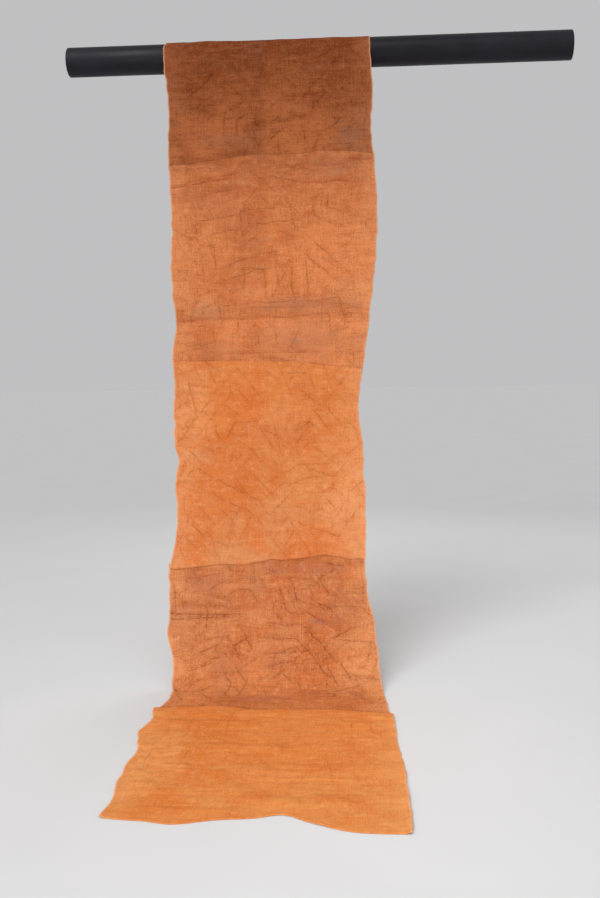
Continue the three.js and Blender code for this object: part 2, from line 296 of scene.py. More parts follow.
# The hems: the free edge behind the rod, from the foot of the back fall, and the front edge of the tail
BACK_HEM = table(EdgePoint, (-312, -24), (-150, -8), (0, 0), (160, 1), (316, -6))
HEM = table(
    EdgePoint,
    (-260, 2906), (-165, 2918), (-104, 2930), (-20, 2908), (65, 2895), (126, 2879), (187, 2915),
    (275, 2953), (390, 2959),
)

# Main folds, as in the frame: soft ridges (height over 0) or troughs (under 0) on along + slant * across
FOLDS = table(
    Fold,
    (-325, 0.06, -400, 120, 9, 190),
    (-245, -0.05, -60, 400, 7, 170),
    (440, -0.16, -330, -60, 7, 90),
    (505, -0.1, -330, 40, -4, 80),
    (560, 0.03, 20, 350, 4, 110),
    (835, 0.02, -250, 330, 5, 100),
    (900, 0.01, -330, 340, -7, 76),
    (962, 0.05, -300, 330, 4, 90),
    (1240, -0.12, -320, 120, 4, 150),
    (1470, 0.1, -60, 320, 5, 160),
    (1762, 0.02, -330, 20, 6, 90),
    (1812, 0.03, -330, 0, -8, 64),
    (1860, 0.1, -330, 260, 6, 96),
    (1930, -0.06, 40, 360, 6, 110),
    (2010, 0.08, -320, 120, 4, 110),
    (2262, 0.02, -330, 120, 3, 80),
    (2345, 0.05, -330, 60, 3, 90),
    (2350, -0.04, 120, 400, 2, 90),
    (2500, 0.03, -320, 250, 2, 120),
    (2640, -0.04, -40, 410, 3, 110),
    (2740, 0.05, -300, 60, 2, 110),
    (2812, 0.04, 0, 300, 5, 110),
)

# Narrow creases, where the cloth was pressed or pinched. The troughs are darker.
CREASES = table(
    Fold,
    (40, 0.03, -290, -110, 1.2, 14),
    (64, 0.02, -300, -30, 1.4, 16),
    (50, -0.02, 60, 260, 1, 14),
    (446, -0.14, -340, -90, -3.2, 20),
    (430, -0.17, -270, -60, -2.2, 16),
    (428, 0, 120, 260, -1.8, 16),
    (402, 0.04, 240, 350, -2.2, 18),
    (478, 0.02, 60, 350, -1, 20),
    (620, 0.06, -340, -40, -1, 26),
    (700, -0.05, -120, 350, 1.4, 30),
    (837, 0, -90, 200, -1.2, 14),
    (849, 0.02, -100, 80, -1.4, 14),
    (867, 0.01, -80, 140, -1.6, 14),
    (900, 0.01, -330, -40, -2.2, 15),
    (901, 0, -80, 340, -0.6, 15),
    (884, -0.08, -340, -170, -2.6, 15),
    (1008, 0, -160, 170, -1.6, 15),
    (1130, 0.03, -330, 330, 1.2, 30),
    (1395, -0.06, -330, -120, -1.2, 24),
    (1560, 0.04, 40, 320, 1.4, 28),
    (1813, 0, -350, -50, -3.4, 16),
    (1808, -0.083, -350, -90, -3.4, 16),
    (1822, -0.04, -350, -170, 2.2, 16),
    (1842, 0.04, -340, -150, -1.6, 18),
    (1762, -0.05, 220, 340, -2, 16),
    (1880, 0.06, 190, 340, -2.6, 16),
    (1862, 0.05, 190, 330, 2, 18),
    (1838, 0.06, -20, 150, -1.6, 16),
    (1950, 0.05, -330, 60, -1.2, 24),
    (2085, 0.02, -330, 380, 1.6, 30),
    (2240, 0.01, -330, 60, 1.4, 30),
    (2322, 0.04, -330, 0, 1.4, 30),
    (2400, 0.02, -60, 400, 0.9, 34),
    (2488, -0.03, -320, 330, 0.8, 36),
    (2596, 0.03, -320, 120, 1, 36),
    (2690, 0.01, 20, 400, 1.1, 36),
    (2770, -0.02, -300, 200, 0.9, 34),
    (2862, 0.03, -260, 60, 1.2, 34),
)

# Panels from the back hem to the tail. Layers count in LAYER_STEP, with + towards the viewer. pitch is
# the step of the stitches, kept the share of the outlines that still has its thread, and crumples counts
# the soft straight lines that run along the headings. A patch is a greyed or faded place with its half
# width and half length. A motif is a bent bar: it starts at a place, heads off (0 to the right, 90 down
# the cloth) and follows a path of arm lengths with the turns between them, all of one width.
PANELS = [
    Panel(
        name="raffia_over_rod", node="panel_over_rod", head_layer=0, foot_layer=-1,
        held="draped", rests_on=["rod"], pitch=5.8, kept=0.15,
        crumples=36, headings=(-42, 44, 86),
        tone=Tone(
            head=(0.1, 0.015, 0.001), foot=(0.495, 0.15, 0.049), fade=(-141, 405),
            deep=(0.145, 0.026, 0.005), pale=(0.42, 0.142, 0.058), grey=(0.25, 0.11, 0.068),
            line=(0.14, 0.019, 0.002), blotches=0.4, mottle=0.36, bands=0.4, threads=0.32, gaps=0.28,
            clouds=0.25, specks=0.35, stains=(0, 0.35), line_width=6.5, outlines=0.55, crumpling=0.48,
        ),
        outline=table(
            Outline,
            (-375, -312, 316), (-150, -309, 322), (0, -316, 321), (104, -322, 324), (160, -314, 328),
            (230, -309, 329), (300, -310, 324), (400, -310, 333),
        ),
        greyed=table(Patch, (275, 325, 60, 70, 0.55), (-120, 350, 130, 30, 0.4)),
        faded=table(Patch, (270, 360, 85, 70, 0.7)),
        motifs=table(
            Motif,
            (-262, 252, -42, (182, 88, 118), 42),
            (-72, 282, 45, (84, -86, 112), 40),
            (98, 272, -50, (132, 94, 124), 44),
            (-206, 282, -58, (44, 66, 62), 30),
            (-116, 352, -86, (84, 58, 66), 36),
            (-300, 104, 20, (112,), 40),
            (148, 122, -28, (104, 76, 74), 40),
            (18, 146, 40, (96,), 42),
            (196, 330, -34, (86,), 36),
            (-240, -150, -40, (180, 84, 150), 44),
            (60, -210, 38, (160, -90, 130), 44),
        ),
    ),
    Panel(
        name="raffia_upper", node="panel_upper", head_layer=1, foot_layer=-1,
        held="hung", rests_on=["raffia_over_rod"], pitch=5.8, kept=0.4,
        crumples=64, headings=(-8, 84, -40, 40),
        tone=Tone(
            head=(0.47, 0.142, 0.05), foot=(0.69, 0.225, 0.078), fade=(391, 687),
            deep=(0.47, 0.115, 0.03), pale=(0.73, 0.3, 0.125), grey=(0.4, 0.17, 0.1),
            line=(0.26, 0.042, 0.008), blotches=0.55, mottle=0.38, bands=0.3, threads=0.32, gaps=0.34,
            clouds=0.25, specks=0.45, stains=(0.35, 0.3), line_width=3.4, outlines=0.5, crumpling=0.52,
        ),
        outline=table(
            Outline,
            (390, -309, 334), (620, -301, 340), (725, -305, 333), (830, -301, 321), (903, -291, 313),
            (1000, -301, 297), (1040, -300, 291),
        ),
        greyed=table(
            Patch,
            (90, 860, 190, 28, 0.65),
            (110, 965, 200, 75, 0.5),
            (-195, 880, 48, 40, 0.45),
            (-150, 1000, 120, 34, 0.4),
            (220, 430, 110, 45, 0.45),
            (-80, 600, 70, 50, 0.25),
        ),
        faded=table(Patch, (-205, 868, 70, 45, 0.6), (250, 820, 70, 60, 0.4)),
        motifs=table(
            Motif,
            (-300, 514, -12, (248, 52, 124), 44),
            (-4, 432, 14, (98, -13, 184), 40),
            (-178, 778, -98, (166, 91, 132), 44),
            (-48, 670, -98, (88, 94, 160), 44),
            (166, 498, 90, (74, -68, 72), 40),
            (-166, 766, -17, (176, 102, 122), 42),
            (-58, 834, -90, (72, 90, 84), 38),
            (112, 666, 42, (196,), 44),
            (90, 690, 84, (170,), 48),
            (-222, 930, -95, (78, 74, 86), 40),
            (-116, 988, -92, (110, 90, 326, 84, 96), 46),
            (-10, 912, 82, (96,), 56),
            (-258, 968, -12, (70, 92, 44), 36),
        ),
    ),
    Panel(
        name="raffia_middle", node="panel_middle", head_layer=1, foot_layer=1,
        held="hung", rests_on=["raffia_upper"], pitch=5.8, kept=0.2,
        crumples=120, headings=(40, -58, -38, 72, 30),
        tone=Tone(
            head=(0.645, 0.213, 0.059), foot=(0.6, 0.24, 0.092), fade=(1157, 1650),
            deep=(0.6, 0.15, 0.032), pale=(0.76, 0.33, 0.143), grey=(0.55, 0.24, 0.13),
            line=(0.37, 0.06, 0.007), blotches=0.8, mottle=0.45, bands=0.25, threads=0.26, gaps=0.12,
            clouds=0.1, specks=0.25, stains=(0, 0), line_width=3.6, outlines=0.55, crumpling=0.64,
        ),
        outline=table(
            Outline,
            (1030, -300, 290), (1120, -298, 280), (1190, -300, 276), (1300, -295, 291), (1338, -282, 293),
            (1372, -289, 290), (1430, -292, 295), (1515, -284, 294), (1560, -289, 297), (1660, -309, 293),
        ),
        greyed=table(Patch, (30, 1240, 110, 90, 0.2), (-190, 1330, 80, 40, 0.25)),
        faded=table(Patch, (240, 1500, 90, 170, 0.6), (-240, 1180, 70, 170, 0.4)),
        motifs=table(
            Motif,
            (-262, 1276, -50, (250, 100, 110), 42),
            (-190, 1190, 126, (112, -86, 112), 44),
            (-184, 1216, 80, (84,), 30),
            (-152, 1356, -64, (126, 64, 48, 58, 112), 40),
            (-262, 1376, 27, (290,), 46),
            (-116, 1384, 42, (152, -84, 118), 42),
            (-58, 1470, 116, (142,), 42),
            (22, 1496, 62, (70, 60, 76), 40),
            (34, 1086, 4, (112,), 34),
            (174, 1128, 118, (52, -68, 112), 40),
            (104, 1344, 15, (96, -62, 62), 40),
            (92, 1276, -42, (44, 88, 92), 36),
            (62, 1502, 20, (152, -76, 104), 42),
            (-272, 1540, 42, (112,), 44),
            (164, 1426, 40, (92,), 40),
            (-270, 1080, 84, (70,), 34),
            (-20, 1440, -28, (130, 24, 120), 40),
        ),
    ),
    Panel(
        name="raffia_lower", node="panel_lower", head_layer=-1, foot_layer=0,
        held="hung", rests_on=["raffia_middle"], pitch=5.8, kept=0.45,
        crumples=100, headings=(50, -24, 2, 82, -60),
        tone=Tone(
            head=(0.525, 0.19, 0.076), foot=(0.625, 0.199, 0.059), fade=(1756, 2238),
            deep=(0.48, 0.115, 0.03), pale=(0.75, 0.32, 0.13), grey=(0.34, 0.13, 0.085),
            line=(0.19, 0.034, 0.008), blotches=0.65, mottle=0.48, bands=0.3, threads=0.33, gaps=0.4,
            clouds=0.35, specks=0.55, stains=(0.3, 0.2), line_width=3.6, outlines=0.65, crumpling=0.72,
        ),
        outline=table(
            Outline,
            (1650, -309, 293), (1740, -304, 299), (1835, -302, 321), (1880, -302, 324), (1970, -279, 332),
            (2065, -270, 343), (2140, -263, 351), (2190, -266, 356), (2240, -279, 364),
        ),
        greyed=table(
            Patch,
            (167, 1836, 48, 16, 0.75),
            (110, 1676, 160, 24, 0.4),
            (0, 2130, 110, 44, 0.4),
            (-200, 1720, 80, 40, 0.4),
            (-130, 1990, 40, 110, 0.35),
        ),
        faded=table(Patch, (270, 1990, 80, 120, 0.5)),
        motifs=table(
            Motif,
            (-186, 1770, -30, (96, 30, 58, 56, 62), 44),
            (-118, 1846, 57, (122,), 44),
            (-32, 1866, 2, (128, 46, 216, 110, 126), 44),
            (120, 1692, 56, (102, -60, 52), 40),
            (104, 1778, 30, (112,), 40),
            (-16, 1962, -14, (100, 60, 62), 38),
            (10, 2048, -40, (46, 88, 56), 30),
            (-112, 2044, 62, (84,), 40),
            (-144, 2140, -4, (92,), 34),
            (-214, 1958, -24, (96,), 40),
            (120, 2106, -18, (120,), 40),
            (224, 1768, 4, (64,), 40),
            (-120, 1960, 60, (90, 45, 90), 40),
            (40, 1700, 70, (90, -50, 70), 40),
            (-230, 2080, -40, (100,), 40),
            (190, 1950, 62, (120,), 42),
        ),
    ),
    Panel(
        name="raffia_tail", node="panel_tail", head_layer=2, foot_layer=0,
        held="laid", rests_on=["raffia_lower"], pitch=11, kept=0.45,
        crumples=40, headings=(86, 4, 70),
        tone=Tone(
            head=(0.7, 0.224, 0.056), foot=(0.69, 0.254, 0.071), fade=(2490, 2890),
            deep=(0.64, 0.155, 0.026), pale=(0.79, 0.35, 0.12), grey=(0.62, 0.25, 0.1),
            line=(0.36, 0.056, 0.006), blotches=0.62, mottle=0.45, bands=0.3, threads=0.28, gaps=0.08,
            clouds=0.1, specks=0.4, stains=(0, 0), line_width=3.4, outlines=0.25, crumpling=0.3,
        ),
        outline=table(
            Outline,
            (2210, -283, 363), (2240, -288, 368), (2330, -276, 371), (2390, -294, 374), (2470, -279, 376),
            (2535, -268, 382), (2615, -274, 388), (2760, -267, 393), (2830, -258, 393), (2910, -265, 391),
        ),
        greyed=[],
        faded=table(Patch, (-215, 2560, 90, 260, 0.5)),
        motifs=table(
            Motif,
            (-196, 2462, -88, (206,), 54),
            (-118, 2312, 90, (96, -90, 84), 46),
            (-40, 2420, -90, (150, 90, 70), 52),
            (34, 2436, 48, (96,), 44),
            (118, 2560, -86, (140,), 56),
            (222, 2500, 82, (250,), 58),
            (-206, 2660, -90, (120, 90, 92), 52),
            (-20, 2690, -90, (110, 90, 80), 50),
            (286, 2420, -92, (140,), 50),
            (120, 2740, 0, (90, 90, 80), 48),
        ),
    ),
]

# The cloth's middle line, seen from the side
WRAP_RADIUS = ROD_RADIUS + ROD_CLEARANCE + CLOTH_THICKNESS / 2
FLOOR_LEVEL = CLOTH_THICKNESS / 2
CROWN = BACK_FALL + WRAP_RADIUS * math.pi / 2


def find_lean():
    """The angle from the vertical at which the hanging cloth leaves the rod, by repeated trial."""
    lean = 0.0
    for _ in range(LEAN_TRIALS):
        height = ROD_AXIS_HEIGHT + WRAP_RADIUS * math.sin(lean) - FLOOR_LEVEL
        lean = math.atan(1 / math.sinh(math.acosh(1 + height / SWEEP)))
    return lean


LEAN = find_lean()
FRONT_START = BACK_FALL + WRAP_RADIUS * (math.pi - LEAN)
FRONT_FALL = SWEEP / math.tan(LEAN)
TOUCHDOWN = FRONT_START + FRONT_FALL
TOUCHDOWN_Y = -WRAP_RADIUS * math.cos(LEAN) - SWEEP * math.asinh(FRONT_FALL / SWEEP)


def path_at(length):
    """Points of the middle line at lengths from the back hem, and the directions in which it runs on."""
    angle = np.clip((length - BACK_FALL) / WRAP_RADIUS, 0, math.pi - LEAN)
    turn = np.arcsinh(np.clip(TOUCHDOWN - length, 0, None) / SWEEP)
    still = np.zeros_like(length)
    parts = [length <= BACK_FALL, length <= FRONT_START, length <= TOUCHDOWN]
    y = np.select(
        parts,
        [still + WRAP_RADIUS, WRAP_RADIUS * np.cos(angle), TOUCHDOWN_Y + SWEEP * turn],
        TOUCHDOWN_Y - (length - TOUCHDOWN),
    )
    z = np.select(
        parts,
        [
            ROD_AXIS_HEIGHT - BACK_FALL + length,
            ROD_AXIS_HEIGHT + WRAP_RADIUS * np.sin(angle),
            FLOOR_LEVEL + SWEEP * (np.cosh(turn) - 1),
        ],
        FLOOR_LEVEL,
    )
    run_y = np.select(parts, [still, -np.sin(angle), -1 / np.cosh(turn)], -1.0)
    run_z = np.select(parts, [still + 1, np.cos(angle), -np.tanh(turn)], 0.0)
    return y, z, run_y, run_z


# Curves and waves


def ease(value, start, end):
    """Goes smoothly from 0 at start to 1 at end."""
    t = np.clip((np.asarray(value, float) - start) / (end - start), 0, 1)
    return t * t * (3 - 2 * t)


def bump(offset, width):
    """A round-topped bump, 1 in the middle and 0 from half its width outwards."""
    t = np.minimum(np.abs(offset) / (width / 2), 1)
    return (1 + np.cos(math.pi * t)) / 2


def read_table(rows, key, column, at):
    """A smooth curve through the rows of a table, read at many places."""
    keys = np.array([getattr(row, key) for row in rows], float)
    values = np.array([getattr(row, column) for row in rows], float)
    last = len(rows) - 1
    low = np.maximum(np.arange(last + 1) - 1, 0)
    high = np.minimum(np.arange(last + 1) + 1, last)
    slopes = (values[high] - values[low]) / (keys[high] - keys[low])
    i = np.clip(np.searchsorted(keys, at) - 1, 0, last - 1)
    span = keys[i + 1] - keys[i]
    t = np.clip((at - keys[i]) / span, 0, 1)
    rise = t * t * (3 - 2 * t)
    lead = t * (1 - t) ** 2 * span * slopes[i]
    trail = t * t * (t - 1) * span * slopes[i + 1]
    return values[i] * (1 - rise) + values[i + 1] * rise + lead + trail


def plane_waves(waves, variant=0):
    """Random wave vectors, phases and heights, long waves being higher than short ones."""
    rng = np.random.default_rng(waves.seed + variant)
    lengths = np.exp(rng.uniform(np.log(waves.shortest), np.log(waves.longest), waves.count))
    headings = rng.uniform(0, math.pi, waves.count)
    heights = np.sqrt(lengths / lengths.max())
    heights /= np.sqrt((heights**2).sum() / 2)
    turns = 2 * math.pi / lengths
    phases = rng.uniform(0, 2 * math.pi, waves.count)
    return turns * np.cos(headings), turns * np.sin(headings), phases, heights


def sum_waves(waves, across=0.0, along=0.0):
    total = 0.0
    for kx, ky, phase, height in zip(*waves):
        total = total + height * np.sin(kx * across + ky * along + phase)
    return total


CRINKLES = plane_waves(CRINKLE_WAVES)
CRUMPLED = plane_waves(CRUMPLED_WAVES)
SLACK = plane_waves(ROD_SLACK_WAVES)
WANDERS = {side: plane_waves(EDGE_WAVES, side) for side in (-1, 1)}
CURLS = {side: plane_waves(EDGE_CURL_WAVES, side) for side in (-1, 1)}


# The form of the cloth


def edge_at(edge, across):
    """How far down the cloth an edge or a seam is at places across it."""
    return read_table(edge, "across", "along", across)


def seam_line(seam, across):
    """A seam with the short waves of its sewn edges."""
    waves = plane_waves(SEAM_WAVES, seam[0].along)
    return edge_at(seam, across) + SEAM_WANDER * sum_waves(waves, across=across)


def side_edge(panel, side, along):
    """The place across of a panel's left (-1) or right (1) edge, with its short waves."""
    column = "left" if side < 0 else "right"
    edge = read_table(panel.outline, "along", column, along)
    return edge + EDGE_WANDER * sum_waves(WANDERS[side], along=along)


def fold_height(rows, end_fade, across, along):
    """The height of folds or creases, which fade at their ends."""
    height = np.zeros_like(along)
    for row in rows:
        profile = bump(along - row.along - row.slant * across, row.width)
        in_from_end = np.minimum(across - row.start, row.end - across)
        height += row.height * profile * ease(in_from_end, 0, end_fade)
    return height


def sway_height(across, along):
    """Slow waves of the hanging stretch, which die out at the rod, at the seams and near the floor."""
    length = along + CROWN
    calm = ease(length, FRONT_START, FRONT_START + SWAY_FADE)
    calm = calm * (1 - ease(length, TOUCHDOWN - SWAY_FLOOR_FADE, TOUCHDOWN))
    off_seam = np.ones_like(along)
    for seam in SEAMS:
        apart = np.abs(along - seam_line(seam, across))
        off_seam = np.minimum(off_seam, ease(apart, SEAM_HOLD, SWAY_SEAM_FADE))
    wave = np.sin(2 * math.pi * (across / SWAY_WIDTH + along / SWAY_DRIFT))
    return SWAY_HEIGHT * calm * off_seam * wave


def edge_curl(panel, across, along):
    """The lift of the side edges, which comes and goes."""
    lift = np.zeros_like(along)
    for side in (-1, 1):
        inset = side * (side_edge(panel, side, along) - across)
        strength = (1 + sum_waves(CURLS[side], along=along)) / 2
        lift += EDGE_CURL * strength * (1 - ease(inset, 0, EDGE_CURL_WIDTH)) ** 2
    return lift


def held_shares(along):
    """How far the cloth is clear of the rod and how far it is down on the floor, each from 0 to 1."""
    length = along + CROWN
    off_rod = ease(np.maximum(BACK_FALL - length, length - FRONT_START), 0, ROD_CALM)
    grounded = ease(length, TOUCHDOWN - FLOOR_CALM, TOUCHDOWN)
    return off_rod, grounded


def relief(panel, across, along):
    """How far the cloth stands out of its middle line. It never sinks into the rod or the floor."""
    off_rod, grounded = held_shares(along)
    crumpled = 1 + CRUMPLED_SHARE * sum_waves(CRUMPLED, across, along)
    fine = fold_height(CREASES, CREASE_END_FADE, across, along)
    fine += CRINKLE_HEIGHT * crumpled * sum_waves(CRINKLES, across, along)
    fine += edge_curl(panel, across, along)
    lift = fold_height(FOLDS, FOLD_END_FADE, across, along) + sway_height(across, along)
    lift += fine * (ROD_CRINKLE + (1 - ROD_CRINKLE) * off_rod)
    lift += ROD_SLACK * (1 - off_rod) * (1 + sum_waves(SLACK, across, along))
    return lift - np.minimum(lift, 0) * np.maximum(1 - off_rod, grounded)


def surface(panel, across, along, extra):
    """Points of a panel in metres, so far out of its relief, and their outward normals."""
    lift = extra + relief(panel, across, along)
    y, z, run_y, run_z = path_at(along + CROWN)
    points = np.stack([MIDDLE_X + across, AXIS_Y + y + lift * run_z, z - lift * run_y], -1) * MM
    return points, np.stack([np.zeros_like(y), run_z, -run_y], -1)


def head_at(index, across):
    """Where a panel begins: at the hem behind the rod, or in its upper seam."""
    if index == 0:
        return edge_at(BACK_HEM, across) - CROWN
    return seam_line(SEAMS[index - 1], across) - SEAM_LAP / 2


def foot_at(index, across):
    """Where a panel ends: in its lower seam, or at the front hem."""
    if index == len(SEAMS):
        return edge_at(HEM, across)
    return seam_line(SEAMS[index], across) + SEAM_LAP / 2


def panel_span(index):
    """A panel's head and foot in the middle of the cloth."""
    return [float(end_at(index, np.zeros(1))[0]) for end_at in (head_at, foot_at)]


def layer_lift(panel, head, foot, station):
    """How far a panel's ends step out of the cloth's line, where they lie in their seams."""
    head_lift = panel.head_layer * (1 - ease(station, head + SEAM_HOLD, head + SEAM_HOLD + SEAM_EASE))
    foot_lift = panel.foot_layer * ease(station, foot - SEAM_HOLD - SEAM_EASE, foot - SEAM_HOLD)
    return (head_lift + foot_lift) * LAYER_STEP


def panel_grid(index):
    """The places across and along of a panel's fine grid, its layer lift and its free hems' distance."""
    panel = PANELS[index]
    head, foot = panel_span(index)
    rows = int((foot - head) / MESH_STEP) + 1
    station = np.linspace(head, foot, rows)[:, None]
    left, right = side_edge(panel, -1, station), side_edge(panel, 1, station)
    columns = int(np.max(right - left) / MESH_STEP) + 1
    across = left + (right - left) * np.linspace(0, 1, columns)[None, :]
    pull = (foot - head) * SLANT_REACH
    near_head = 1 - ease(station, head + SEAM_HOLD, head + pull)
    near_foot = ease(station, foot - pull, foot - SEAM_HOLD)
    along = station + near_head * (head_at(index, across) - head)
    along = along + near_foot * (foot_at(index, across) - foot)
    lift = layer_lift(panel, head, foot, station) + np.zeros_like(across)
    from_hem = np.full_like(across, np.inf)
    if index == 0:
        from_hem = np.minimum(from_hem, station - head)
    if index == len(SEAMS):
        from_hem = np.minimum(from_hem, foot - station)
    return across, along, lift, from_hem


# Meshes


def add_object(name, data):
    made = bpy.data.objects.new(name, data)
    bpy.context.scene.collection.objects.link(made)
    return made


def new_object(name, points, faces, material):
    mesh = bpy.data.meshes.new(name)
    mesh.from_pydata(points.tolist(), [], faces)
    mesh.polygons.foreach_set("use_smooth", np.full(len(mesh.polygons), True))
    mesh.materials.append(material)
    mesh.update()
    return add_object(name, mesh)


def set_uv(mesh, places):
    """A UV map that holds each point's place on the flat cloth, in metres."""
    corners = np.empty(len(mesh.loops), int)
    mesh.loops.foreach_get("vertex_index", corners)
    layer = mesh.uv_layers.new(name="cloth")
    layer.data.foreach_set("uv", places[corners].astype(np.float32).ravel())


def set_attribute(mesh, name, values):
    attribute = mesh.attributes.new(name, "FLOAT", "POINT")
    attribute.data.foreach_set("value", values.astype(np.float32).ravel())


def rim_loop(rows, columns):
    """The grid's border as one closed loop of point numbers, head first, then the right edge."""
    number = np.arange(rows * columns).reshape(rows, columns)
    return np.concatenate([number[0, :-1], number[:-1, -1], number[-1, :0:-1], number[:0:-1, 0]])


def sheet_points(panel, across, along, lift, from_hem, loop):
    """The points of a sheet's face, then of its back, then of its rounded rim."""
    middle, normals = surface(panel, across, along, lift)
    half = CLOTH_THICKNESS / 2 + HEM_ROLL * bump(from_hem - HEM_ROLL_WIDTH / 2, HEM_ROLL_WIDTH)
    raised = normals * (half * MM)[..., None]
    middle = middle + normals * ((half - CLOTH_THICKNESS / 2) * MM)[..., None]
    rim = middle.reshape(-1, 3)[loop]
    outward = np.cross(np.roll(rim, -1, 0) - np.roll(rim, 1, 0), normals.reshape(-1, 3)[loop])
    outward /= np.linalg.norm(outward, axis=1)[:, None]
    rim = rim - outward * EDGE_ROUND * MM
    return np.concatenate([(middle + raised).reshape(-1, 3), (middle - raised).reshape(-1, 3), rim])


def strip(low, high):
    """The faces between two closed loops of point numbers."""
    return np.stack([low, np.roll(low, -1), np.roll(high, -1), high], -1)


def sheet_faces(rows, columns, loop):
    """The faces of a sheet's two sides, and two strips of faces that meet on the rim."""
    count = rows * columns
    number = np.arange(count).reshape(rows, columns)
    quads = np.stack([number[:-1, :-1], number[1:, :-1], number[1:, 1:], number[:-1, 1:]], -1).reshape(-1, 4)
    rim = 2 * count + np.arange(len(loop))
    return np.concatenate([quads, quads[:, ::-1] + count, strip(loop, rim), strip(rim, loop + count)])


def sheet_mesh(index, material, outlines):
    """A panel as a closed sheet, with the attributes that its material reads."""
    panel = PANELS[index]
    across, along, lift, from_hem = panel_grid(index)
    loop = rim_loop(*across.shape)
    points = sheet_points(panel, across, along, lift, from_hem, loop)
    piece = new_object(panel.name, points, sheet_faces(*across.shape, loop).tolist(), material)
    numbers = np.arange(across.size)
    source = np.concatenate([numbers, numbers, loop])
    places = np.stack([across.ravel(), along.ravel()], -1)
    set_uv(piece.data, places[source] * MM)
    inset = np.minimum(across - across[:, :1], across[:, -1:] - across)
    line_aside, line_strength = line_field(places, outlines + crumple_lines(index) + crease_lines(index))
    attributes = {
        "line_aside": line_aside,
        "line_strength": line_strength,
        "edge_inset": inset.ravel() * MM,
        "from_head": (along - along[:1]).ravel() * MM,
        "from_foot": (along[-1:] - along).ravel() * MM,
    }
    for name, values in attributes.items():
        set_attribute(piece.data, name, values[source])
    return piece


# Lines on the cloth


def line_field(places, marks):
    """How far each place is to one side of its nearest line, in line widths, and that line's strength."""
    points = np.concatenate([mark.line for mark in marks])
    ahead = np.concatenate([np.gradient(mark.line, axis=0) for mark in marks])
    strength = np.concatenate([mark.strength for mark in marks])
    width = np.concatenate([np.full(len(mark.line), mark.width) for mark in marks])
    tree = KDTree(len(points))
    for i, (x, y) in enumerate(points):
        tree.insert((x, y, 0), i)
    tree.balance()
    nearest = np.array([tree.find((x, y, 0))[1] for x, y in places])
    apart = places - points[nearest]
    turned = ahead[nearest, 0] * apart[:, 1] - ahead[nearest, 1] * apart[:, 0]
    side = np.where(turned < 0, -1, 1)
    return side * np.linalg.norm(apart, axis=1) / width[nearest], strength[nearest]


def along_line(line, at, lengths):
    """Points of a closed line at some places, given the places of its points and of its end."""
    closed = np.concatenate([line, line[:1]])
    return np.stack([np.interp(at, lengths, closed[:, axis]) for axis in (0, 1)], -1)


def resample(corners, step):
    """A closed outline's points at even steps."""
    sides = np.linalg.norm(np.roll(corners, -1, 0) - corners, axis=1)
    lengths = np.concatenate([[0], np.cumsum(sides)])
    return along_line(corners, np.arange(0, lengths[-1], step), lengths)


def bar_spine(motif):
    """The points of a bent bar's middle line, and the headings of its arms."""
    spine = [np.array([motif.across, motif.along], float)]
    headings = []
    heading = motif.heading
    for arm, turn in zip(motif.path[::2], [*motif.path[1::2], 0]):
        headings.append(math.radians(heading))
        spine.append(spine[-1] + arm * np.array([math.cos(headings[-1]), math.sin(headings[-1])]))
        heading += turn
    return spine, headings


def bar_corners(spine, headings, wide):
    """The corners of a bent bar, along one side and back along the other."""
    sides = {1: [], -1: []}
    for i, point in enumerate(spine):
        before = headings[max(i - 1, 0)]
        after = headings[min(i, len(headings) - 1)]
        middle = (before + after) / 2
        reach = wide / 2 / max(math.cos((after - before) / 2), CORNER_LIMIT)
        for side in sides:
            sides[side].append(point + side * reach * np.array([-math.sin(middle), math.cos(middle)]))
    return np.array(sides[1] + sides[-1][::-1])


def bent_bar(motif, tone, seed):
    """The closed outline of a bent bar, with soft corners, a hand's wobble and uneven wear."""
    spine, headings = bar_spine(motif)
    line = resample(bar_corners(spine, headings, motif.wide), LINE_STEP)
    soft = sum(np.roll(line, k, 0) for k in range(-CORNER_SOFTNESS, CORNER_SOFTNESS + 1))
    line = soft / (2 * CORNER_SOFTNESS + 1)
    steps = np.arange(len(line)) * LINE_STEP
    for axis in (0, 1):
        line[:, axis] += LINE_WOBBLE * sum_waves(plane_waves(LINE_WAVES, 2 * seed + axis), steps)
    wear = sum_waves(plane_waves(WEAR_WAVES, seed), steps)
    from_end = np.min([np.linalg.norm(line - end, axis=1) for end in (spine[0], spine[-1])], axis=0)
    closing = BAR_END + (1 - BAR_END) * ease(from_end, motif.wide / 2, motif.wide)
    return Mark(line, tone.outlines * closing * ease(wear, *WEAR), tone.line_width)


def panel_outlines(index):
    panel = PANELS[index]
    return [bent_bar(motif, panel.tone, BAR_SEED_STEP * index + k) for k, motif in enumerate(panel.motifs)]


def crumple_lines(index):
    """Soft, nearly straight lines where the cloth was crumpled, mostly along the panel's headings."""
    panel = PANELS[index]
    rng = np.random.default_rng(CRUMPLE_SEED + index)
    marks = []
    for _ in range(panel.crumples):
        along = rng.uniform(*panel_span(index), 1)
        across = rng.uniform(side_edge(panel, -1, along), side_edge(panel, 1, along))
        heading = math.radians(rng.choice(panel.headings) + rng.normal(0, CRUMPLE_TURN))
        length = rng.uniform(*CRUMPLE_LENGTHS)
        t = np.arange(-1, 1, 2 * LINE_STEP / length)
        aside = rng.normal(0, CRUMPLE_BOW) * (1 - t * t)
        ahead = t * length / 2
        line = np.stack([
            across + ahead * math.cos(heading) - aside * math.sin(heading),
            along + ahead * math.sin(heading) + aside * math.cos(heading),
        ], -1)
        strength = panel.tone.crumpling * rng.uniform(*CRUMPLE_STRENGTHS)
        strength = strength * ease(1 - np.abs(t), 0, CRUMPLE_END_FADE)
        marks.append(Mark(line, strength, rng.uniform(*CRUMPLE_WIDTHS)))
    return marks


